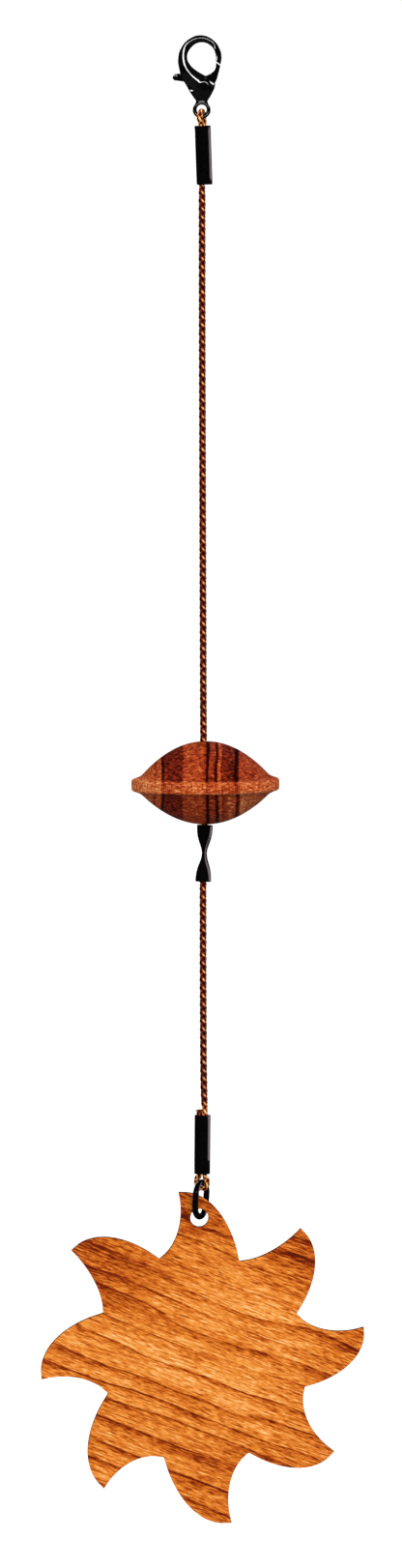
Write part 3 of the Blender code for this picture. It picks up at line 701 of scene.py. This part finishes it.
class TubeStore:
    """Points, faces and strand values of many closed tubes that make one mesh."""

    def __init__(self):
        self.points = []
        self.faces = []
        self.values = []
        self.crowns = []
        self.kinds = []
        self.count = 0

    def add(self, centre, across, outward, width, thickness, number, painted_light):
        """Append an oval tube; number is its strand, or -1 for the core, and painted_light is
        how far it stands out of the braid, from 0 to 1, which sets how much lighter it is
        painted."""
        rows = len(centre)
        sides = STRAND_SIDES
        steps = np.arange(sides) * 2.0 * math.pi / sides
        cosine = np.cos(steps)
        sine = np.sin(steps)
        half_width = cosine[None, :, None] * width[:, None, None] / 2.0
        half_thickness = sine[None, :, None] * thickness[:, None, None] / 2.0
        ring = (centre[:, None, :] + across[:, None, :] * half_width
                + outward[:, None, :] * half_thickness)
        value = np.zeros((rows, sides, 3))
        value[..., 0] = length_along(centre)[:, None] / MM
        value[..., 1] = cosine
        value[..., 2] = number + 0.3 * sine
        # Painted light: each ring is lighter on its outer side and darker on its inner side.
        painted_crown_light = 0.5 + 0.5 * sine[None, :] * np.ones((rows, 1))
        painted_crown_light = painted_crown_light * painted_light[:, None]
        self.points.append(ring.reshape(-1, 3))
        self.values.append(value.reshape(-1, 3))
        self.crowns.append(painted_crown_light.ravel())
        base = self.count
        kind = 0 if number >= 0 else 1
        for row in range(rows - 1):
            for step in range(sides):
                here = base + row * sides + step
                beside = base + row * sides + (step + 1) % sides
                self.faces.append((here, beside, beside + sides, here + sides))
        self.faces.append(tuple(base + step for step in reversed(range(sides))))
        self.faces.append(tuple(base + (rows - 1) * sides + step for step in range(sides)))
        self.kinds.extend([kind] * ((rows - 1) * sides + 2))
        self.count += rows * sides

    def mesh(self, name):
        made = bpy.data.meshes.new(name)
        made.from_pydata(np.concatenate(self.points), [], self.faces)
        strand = made.attributes.new("strand", "FLOAT_VECTOR", "POINT")
        strand.data.foreach_set("vector", np.concatenate(self.values).astype(np.float32).ravel())
        painted_crown_light = made.attributes.new("painted_crown_light", "FLOAT", "POINT")
        painted_crown_light.data.foreach_set("value", np.concatenate(self.crowns).astype(np.float32))
        made.materials.append(cord_fibre())
        made.materials.append(cord_core())
        made.polygons.foreach_set("material_index", self.kinds)
        made.shade_smooth()
        made.update()
        return made


def add_frayed_end(store, tail):
    """Short loose fibres that fan out of the cord's tail, up and to the left."""
    rng = np.random.default_rng(FRAY_SEED)
    share = np.linspace(0.0, 1.0, FRAYED_RINGS)
    width = FRAYED_WIDTH * (1.0 - FRAYED_TAPER * share)
    for _ in range(FRAYED_ENDS):
        start = tail + rng.uniform(-0.35, 0.35, 3) * MM - (0.0, 0.0, 0.5 * MM)
        lean = rng.uniform((-0.95, -0.6, 0.3), (0.15, 0.5, 0.9))
        fall = rng.uniform(0.1, 0.7) * MM
        length = FRAYED_LENGTH * rng.uniform(0.6, 1.0)
        line = start + lean * length * share[:, None]
        line[:, 2] -= fall * share ** 2
        tangent = tangents(line)
        across = unit(np.cross(tangent, (0.0, 1.0, 0.0)))
        painted_light = rng.uniform(0.6, 0.95) * np.ones(FRAYED_RINGS)
        store.add(line, across, np.cross(across, tangent), width, width, 2, painted_light)


def make_cord():
    rows = route_points()
    centre = rows[:, :3]
    share = rows[:, 3]
    side, other = carried_frame(centre)
    along = length_along(centre)
    middle = CORD_DIAMETER / 2.0 + BULGE - STRAND_WAVE - STRAND_THICKNESS / 2.0
    twist = 2.0 * math.pi * along / LAY
    # Painted light: the loops are painted paler, except on the tail.
    paler = LOOP_PAINTED_LIGHT * smoothstep(LOOP_SHARE + LOOP_FADE, LOOP_SHARE, share)
    paler *= along < along[-1] - TAIL_LENGTH
    store = TubeStore()
    # Painted shade: the strands that rise to the right get less painted light, for light from the
    # upper right.
    for way, side_painted_light in ((1.0, RISING_PAINTED_LIGHT), (-1.0, 1.0)):
        over = way * np.cos(STRANDS_EACH_WAY * twist)
        radius = (middle + STRAND_WAVE * over) * share
        for strand in range(STRANDS_EACH_WAY):
            turn = BRAID_TURN + 2.0 * math.pi * strand / STRANDS_EACH_WAY + way * twist
            outward = side * np.cos(turn)[:, None] + other * np.sin(turn)[:, None]
            line = centre + outward * radius[:, None]
            across = unit(np.cross(tangents(line), outward))
            number = strand + (0 if way > 0 else STRANDS_EACH_WAY)
            # Painted light and shade: lighter where a strand goes over, darker where it goes
            # under, paler in the loops.
            painted_light = (PAINTED_LIGHT_MEAN + PAINTED_LIGHT_SWING * over) * side_painted_light + paler
            store.add(line, across, outward, STRAND_WIDTH * share, STRAND_THICKNESS * share,
                      number, painted_light)
    core = 2.0 * CORE_RADIUS * share
    store.add(centre, side, other, core, core, -1, np.zeros(len(centre)))
    add_frayed_end(store, centre[-1])
    piece = add_piece("braided_cord", store.mesh("braided_cord"))
    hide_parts("cord")
    return piece


# Crimps, ring and clapper


def refined(node, name, look):
    """A smooth piece over a faceted CAD node: its flat faces joined and subdivided, and
    its corners moved until the smooth surface runs through the CAD's."""
    form = welded(node)
    bmesh.ops.join_triangles(form, faces=form.faces, angle_face_threshold=SAME_FACE,
                             angle_shape_threshold=ANY_SHAPE)
    crease = form.edges.layers.float.new("crease_edge")
    for edge in form.edges:
        if edge.is_manifold and edge.calc_face_angle(0.0) > SHARP_EDGE:
            edge[crease] = 1.0
    mesh = bpy.data.meshes.new(name)
    form.to_mesh(mesh)
    form.free()
    mesh.shade_smooth()
    piece = add_piece(name, mesh)
    modifier = piece.modifiers.new("round", "SUBSURF")
    modifier.levels = SMOOTH_LEVELS
    modifier.render_levels = SMOOTH_LEVELS
    corners = points_of(mesh)
    held = corners.copy()
    for _ in range(REFINE_PASSES):
        rounded = evaluated_mesh(piece)
        held += REFINE_SHARE * (corners - points_of(rounded)[:len(corners)])
        bpy.data.meshes.remove(rounded)
        put_points(mesh, held)
    return finish_piece(piece, node, look)


def make_clapper():
    low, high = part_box("clapper")
    band_middle = (low + high) / 2.0
    band_middle.z = low.z + LOWER_DOME_HEIGHT
    return refined("clapper", "clapper_turning", clapper_wood(band_middle))


# The clasp


def plate_curve(name, depth, edge, edge_steps):
    """A curve for a plate with rounded edges, which takes its outlines."""
    curve = bpy.data.curves.new(name, "CURVE")
    curve.dimensions = "2D"
    curve.fill_mode = "BOTH"
    curve.extrude = depth / 2.0 - edge
    curve.bevel_depth = edge
    curve.bevel_resolution = edge_steps
    curve.offset = -edge
    return curve


def flat_mesh(name, outlines, depth, edge, resolution=12):
    """An upright plate in millimetres from outlines of (x, z, kind) knots."""
    curve = plate_curve(name, depth, edge, CASTING_EDGE_STEPS)
    for knots in outlines:
        spline = curve.splines.new("BEZIER")
        spline.bezier_points.add(len(knots) - 1)
        spline.use_cyclic_u = True
        spline.resolution_u = resolution
        for point, (x, z, kind) in zip(spline.bezier_points, knots):
            point.co = (x, z, 0.0)
            point.handle_left_type = kind
            point.handle_right_type = kind
    mesh = used_up(new_object(name, curve))
    for vertex in mesh.vertices:
        x, z, depth_at = vertex.co
        vertex.co = (x, -depth_at, z)
    return mesh


def circle_knots(x, z, radius):
    turns = [quarter * math.pi / 2.0 for quarter in range(4)]
    return [(x + radius * math.cos(turn), z + radius * math.sin(turn), SMOOTH) for turn in turns]


def cast_mesh(mesh, cutters, voxel, passes):
    """A fine even mesh of a solid in millimetres, its edges rounded as in a casting."""
    source = new_object("casting", mesh)
    tools = []
    for cutter in cutters:
        tool = new_object("cutter", cutter)
        modifier = source.modifiers.new("cut", "BOOLEAN")
        modifier.operation = "DIFFERENCE"
        modifier.object = tool
        tools.append(tool)
    remesh = source.modifiers.new("even", "REMESH")
    remesh.mode = "VOXEL"
    remesh.voxel_size = voxel
    smooth = source.modifiers.new("soften", "SMOOTH")
    smooth.factor = 0.5
    smooth.iterations = passes
    return used_up(source, tools)


def crest_gap(x, z):
    """Distance in millimetres from points to the clasp's crest, seen from the front, and
    less than that near the crest, where it is rounded."""
    knots = np.array((CREST[0],) + CREST + (CREST[-1],))
    line = []
    for index in range(1, len(knots) - 2):
        for step in range(CREST_STEPS):
            line.append(through(*knots[index - 1:index + 3], step / CREST_STEPS))
    line.append(knots[-1])
    best = np.full(len(x), 1e9)
    rounding = np.zeros(len(x))
    for start, end in zip(line, line[1:]):
        way = end - start
        share = ((x - start[0]) * way[0] + (z - start[1]) * way[1]) / (way[0] ** 2 + way[1] ** 2)
        share = np.clip(share, 0.0, 1.0)
        gap = np.hypot(x - start[0] - share * way[0], z - start[1] - share * way[1])
        nearer = gap < best
        best = np.where(nearer, gap, best)
        rounding = np.where(nearer, start[2] + share * way[2], rounding)
    gap = np.sqrt(best ** 2 + rounding ** 2) - rounding
    level = np.exp(-CREST_BEND * CREST_REACH)
    return -np.log(np.exp(-CREST_BEND * gap) + level) / CREST_BEND


def clasp_depth(z):
    """Depth of the clasp: thin at the eye, full over the cheeks, slimmer at the hook."""
    lower = EYE_DEPTH + (CLASP_DEPTH - EYE_DEPTH) * smoothstep(NECK_Z, CHEEK_BOTTOM_Z, z)
    return lower + (HOOK_DEPTH - CLASP_DEPTH) * smoothstep(CHEEK_TOP_Z, 0.0, z)


def make_clasp_body(look):
    eye = []
    for degrees in (45, 0, -45, -90, -135, -180, -225):
        turn = math.radians(degrees)
        eye.append((EYE_RADIUS * math.cos(turn), EYE_Z + EYE_RADIUS * math.sin(turn), SMOOTH))
    outline = list(CLAW_INNER) + eye + list(CLAW_OUTER)
    eye_hole = circle_knots(0.0, EYE_Z, EYE_HOLE_RADIUS)
    mesh = flat_mesh("clasp_body_casting", (outline, eye_hole), CLASP_DEPTH, CLASP_EDGE)
    points = points_of(mesh)
    points[:, 1] *= clasp_depth(points[:, 2]) / CLASP_DEPTH
    put_points(mesh, points)
    slot = flat_mesh("slot", ([(*point, CORNER) for point in SLOT],), SLOT_DEPTH, 0.0, 1)
    hole = flat_mesh("hole", (circle_knots(*PIVOT, PIVOT_HOLE_RADIUS),), 2.0 * CLASP_DEPTH, 0.0)
    mesh = cast_mesh(mesh, (slot, hole), CLASP_VOXEL, CLASP_SOFTENED)
    points = points_of(mesh)
    x, y, z = points.T
    drop = CREST_SLOPE * crest_gap(x, z)
    drop = drop * smoothstep(*CREST_FADE_Z, z) * smoothstep(*CREST_FADE_Y, np.abs(y))
    drop *= smoothstep(BOSS_RADIUS, BOSS_FOOT, np.hypot(x - PIVOT[0], z - PIVOT[1]))
    eye_gap = np.abs(np.hypot(x, z - EYE_Z) - (EYE_RADIUS + EYE_HOLE_RADIUS) / 2.0)
    eye_gap = np.sqrt(eye_gap ** 2 + EYE_ROUNDING ** 2) - EYE_ROUNDING
    drop += EYE_SLOPE * eye_gap * smoothstep(*EYE_FADE_Z, z)
    points[:, 1] = y - np.sign(y) * np.minimum(drop, SLOPE_LIMIT * np.abs(y))
    put_points(mesh, points * MM)
    mesh.shade_smooth()
    return finish_piece(add_piece("clasp_body_casting", mesh), "clasp_body", look)


def make_rivet(look):
    """The pin with its two domed heads."""
    profile = list(RIVET) + [(radius, -depth) for radius, depth in reversed(RIVET)]
    form = bmesh.new()
    rings = []
    for radius, depth in profile:
        steps = RIVET_STEPS if radius > 0.0 else 1
        ring = []
        for step in range(steps):
            turn = 2.0 * math.pi * step / steps
            x = PIVOT[0] + radius * math.cos(turn)
            z = PIVOT[1] + radius * math.sin(turn)
            ring.append(form.verts.new(Vector((x, depth, z)) * MM))
        rings.append(ring)
    for ring, following in zip(rings, rings[1:]):
        for step in range(RIVET_STEPS):
            after = (step + 1) % RIVET_STEPS
            corners = [ring[step % len(ring)], ring[after % len(ring)],
                       following[after % len(following)], following[step % len(following)]]
            form.faces.new(dict.fromkeys(corners))
    bmesh.ops.recalc_face_normals(form, faces=form.faces)
    mesh = bpy.data.meshes.new("clasp_rivet_pin")
    form.to_mesh(mesh)
    form.free()
    mesh.shade_smooth()
    return finish_piece(add_piece("clasp_rivet_pin", mesh), "clasp_rivet", look)


def make_clasp_lever(look):
    hole = circle_knots(*PIVOT, PIVOT_HOLE_RADIUS)
    mesh = flat_mesh("clasp_lever_casting", (LEVER, hole), LEVER_DEPTH, LEVER_EDGE)
    mesh = cast_mesh(mesh, (), LEVER_VOXEL, LEVER_SOFTENED)
    points = points_of(mesh)
    x, y, z = points.T
    widen = THUMB_DEPTH / LEVER_DEPTH - 1.0
    tab = smoothstep(THUMB_START_X + DOME_START, THUMB_FULL_X, x)
    off_middle = np.clip(np.abs(z - THUMB_Z), 0.0, 1.0)
    y *= 1.0 + widen * smoothstep(THUMB_START_X, THUMB_FULL_X, x)
    y *= 1.0 - THUMB_ROUNDING * tab * off_middle ** 2
    put_points(mesh, points * MM)
    mesh.shade_smooth()
    piece = add_piece("clasp_lever_casting", mesh, "lever")
    return finish_piece(piece, "clasp_lever", look)


# The sun


def front_loops(node):
    """The closed outlines of a plate's front face, as lists of points in order."""
    form = welded(node)
    edges = {}
    for edge in form.edges:
        faces = edge.link_faces
        if len(faces) != 2:
            continue
        flat = [face.normal.y < SUN_FRONT for face in faces]
        if flat[0] != flat[1]:
            first, second = edge.verts
            edges.setdefault(first.index, []).append(second.index)
            edges.setdefault(second.index, []).append(first.index)
    places = {vertex.index: vertex.co.copy() for vertex in form.verts}
    form.free()
    loops = []
    left = set(edges)
    while left:
        start = left.pop()
        loop = [start]
        current = start
        while True:
            ways = [index for index in edges[current] if index in left]
            if not ways:
                break
            current = ways[0]
            left.discard(current)
            loop.append(current)
        loops.append([places[index] for index in loop])
    return loops


def smooth_outline(loop):
    """More points on a loop, on smooth curves between its sharp corners."""
    count = len(loop)
    sharp = []
    for index, point in enumerate(loop):
        before = (point - loop[index - 1]).normalized()
        after = (loop[(index + 1) % count] - point).normalized()
        sharp.append(before.angle(after) > SUN_CORNER)
    made = []
    for index, start in enumerate(loop):
        end = loop[(index + 1) % count]
        before = loop[index - 1]
        after = loop[(index + 2) % count]
        if sharp[index]:
            before = start - (end - start)
        if sharp[(index + 1) % count]:
            after = end + (end - start)
        for step in range(SUN_STEPS):
            made.append(through(before, start, end, after, step / SUN_STEPS))
    return made


def make_sun():
    """The board with softened, charred edges, in the plane of the CAD plate."""
    low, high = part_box("sun_sail")
    normal = Vector((math.sin(SUN_TURN), -math.cos(SUN_TURN), 0.0))
    right = Vector((math.cos(SUN_TURN), math.sin(SUN_TURN), 0.0))
    up = Vector((0.0, 0.0, 1.0))
    middle = (low + high) / 2.0
    wood = sail_wood(middle)
    middle.y = 0.0
    curve = plate_curve("sun_outline", SUN_THICKNESS, SUN_EDGE, SUN_EDGE_STEPS)
    for loop in front_loops("sun_sail"):
        points = smooth_outline(loop)
        spline = curve.splines.new("POLY")
        spline.points.add(len(points) - 1)
        spline.use_cyclic_u = True
        for point, place in zip(spline.points, points):
            offset = place - middle
            point.co = (offset.dot(right), offset.dot(up), 0.0, 1.0)
    mesh = used_up(new_object("sun_outline", curve))
    form = bmesh.new()
    form.from_mesh(mesh)
    bmesh.ops.remove_doubles(form, verts=form.verts, dist=SUN_WELD)
    for vertex in form.verts:
        across, height, depth = vertex.co
        vertex.co = middle + right * across + up * height + normal * depth
    form.normal_update()
    facing = [abs(face.normal.dot(normal)) for face in form.faces]
    form.to_mesh(mesh)
    form.free()
    mesh.name = "sun_board"
    piece = add_piece("sun_board", mesh)
    finish_piece(piece, "sun_sail", wood)
    mesh.materials.append(charred_edge())
    for polygon, share in zip(mesh.polygons, facing):
        polygon.material_index = 0 if share > FACE_SHARE else 1
        polygon.use_smooth = share < FLAT_SHARE
    return piece


# Stage, lights and camera


def make_stage():
    """A pale floor that is over-exposed to white where the camera sees it."""
    mesh = bpy.data.meshes.new("floor")
    form = bmesh.new()
    bmesh.ops.create_grid(form, x_segments=2, y_segments=2, size=FLOOR_SIZE / 2.0)
    form.to_mesh(mesh)
    form.free()
    floor = new_object("floor", mesh)
    floor.location.z = FLOOR_Z
    tree = Tree("pale floor", {"Roughness": 0.9, "Specular IOR Level": 0.0})
    rays = tree.add("LightPath").outputs
    pale = tree.ramp(tree.noise(tree.place(scale=(1.0,) * 3), 0.7), ((0.3, 0.30), (0.7, 0.34)))
    tree.colour(tree.mix(rays["Is Glossy Ray"], pale, (0.08, 0.08, 0.08, 1.0)))
    tree.shader.inputs["Emission Color"].default_value = (1.0, 1.0, 1.0, 1.0)
    tree.put(rays["Is Camera Ray"], tree.shader.inputs["Emission Strength"])
    mesh.materials.append(tree.material)


def add_light(name, azimuth, elevation, distance, size, radiance, colour=(1.0, 1.0, 1.0),
              target=(0.0, 0.0, -0.19), mirrored_in=None):
    """A soft box seen from the target at an azimuth from the front, in degrees. It either
    lights the whole line or is mirrored in the pieces named, so each can be set by itself."""
    turn = math.radians(azimuth)
    rise = math.radians(elevation)
    level = math.cos(rise)
    way = Vector((math.sin(turn) * level, -math.cos(turn) * level, math.sin(rise)))
    data = bpy.data.lights.new(name, "AREA")
    data.shape = "RECTANGLE"
    data.size, data.size_y = size
    data.energy = radiance * math.pi * size[0] * size[1]
    data.color = colour
    light = new_object(name, data)
    light.location = Vector(target) + way * distance
    light.rotation_euler = (-way).to_track_quat("-Z", "Y").to_euler()
    light.visible_camera = False
    light.visible_glossy = mirrored_in is not None
    light.visible_diffuse = mirrored_in is None
    if mirrored_in:
        receivers = bpy.data.collections.new(name)
        for piece in mirrored_in:
            receivers.objects.link(piece)
        light.light_linking.receiver_collection = receivers


def make_world():
    world = bpy.data.worlds.new("studio")
    world.use_nodes = True
    nodes = world.node_tree.nodes
    links = world.node_tree.links
    rays = nodes.new("ShaderNodeLightPath")
    mirrored = nodes.new("ShaderNodeMix")
    mirrored.inputs["A"].default_value = WORLD_LIGHT
    mirrored.inputs["B"].default_value = WORLD_MIRRORED
    links.new(rays.outputs["Is Glossy Ray"], mirrored.inputs["Factor"])
    seen = nodes.new("ShaderNodeMix")
    seen.inputs["B"].default_value = WORLD_SEEN
    links.new(mirrored.outputs["Result"], seen.inputs["A"])
    links.new(rays.outputs["Is Camera Ray"], seen.inputs["Factor"])
    background = nodes["Background"]
    background.inputs["Color"].default_value = (1.0, 1.0, 1.0, 1.0)
    links.new(seen.outputs["Result"], background.inputs["Strength"])
    bpy.context.scene.world = world


def make_lights(clasp, lever, tubes, ring, cord, woods):
    hook = (0.0, 0.0, -0.01)
    add_light("front", -6.0, 14.0, 2.0, (1.1, 1.0), 5.0)
    add_light("right high", 48.0, 38.0, 1.8, (0.7, 0.9), 9.0)
    add_light("left", -62.0, 12.0, 1.8, (0.8, 1.2), 2.6)
    add_light("back", 160.0, 30.0, 2.0, (1.2, 1.2), 4.0)
    add_light("crest line", -1.0, 8.2, 2.0, (1.0, 0.36), 22.0, target=hook,
              mirrored_in=(clasp, ring))
    add_light("tab glint", -16.0, 52.0, 1.8, (0.9, 0.6), 14.0, (1.0, 0.84, 0.84), target=hook,
              mirrored_in=(lever,))
    add_light("right strip", 107.0, 0.0, 1.4, (0.9, 1.6), 7.0, (1.0, 0.78, 0.88),
              mirrored_in=(*tubes, ring, lever, clasp))
    add_light("wood sheen", -50.0, 50.0, 1.8, (1.2, 1.0), 0.8, mirrored_in=woods)
    add_light("cord sheen", 58.0, 44.0, 1.6, (0.5, 0.6), 22.0, target=(0.0, 0.0, -0.17),
              mirrored_in=(cord,))
    add_light("back sheen", 200.0, -2.0, 0.6, (0.22, 0.5), 5.0,
              mirrored_in=(clasp, lever, ring, *tubes))


def make_camera():
    data = bpy.data.cameras.new("camera")
    data.sensor_width = SENSOR
    seen_height = PHOTO_HEIGHT * PHOTO_SCALE * math.cos(CAMERA_ELEVATION)
    data.lens = SENSOR * CAMERA_DISTANCE / seen_height
    camera = new_object("camera", data)
    middle = Vector(((PHOTO_WIDTH / 2.0 - PHOTO_ORIGIN[0]) * PHOTO_SCALE, 0.0,
                     (PHOTO_ORIGIN[1] - PHOTO_HEIGHT / 2.0 + CAMERA_LIFT) * PHOTO_SCALE))
    back = Vector((0.0, -math.cos(CAMERA_ELEVATION), math.sin(CAMERA_ELEVATION)))
    camera.location = middle + back * CAMERA_DISTANCE
    camera.rotation_euler = (-back).to_track_quat("-Z", "Y").to_euler()
    data.clip_start = 0.05
    data.clip_end = 200.0
    bpy.context.scene.camera = camera


make_camera()
make_world()
make_stage()
gloss = gloss_black()
satin = satin_black()
cord = make_cord()
clasp = make_clasp_body(gloss)
lever = make_clasp_lever(gloss)
make_rivet(satin_black("pin black", 0.38, 0.48))
tubes = [refined(crimp, crimp + "_tube", satin)
         for crimp in ("upper_crimp", "clapper_stop_crimp", "lower_crimp")]
ring = refined("sail_ring", "sail_ring_wire", satin)
woods = (make_clapper(), make_sun())
make_lights(clasp, lever, tubes, ring, cord, woods)
bpy.context.scene.view_settings.view_transform = "Standard"
bpy.context.scene.view_settings.look = "None"
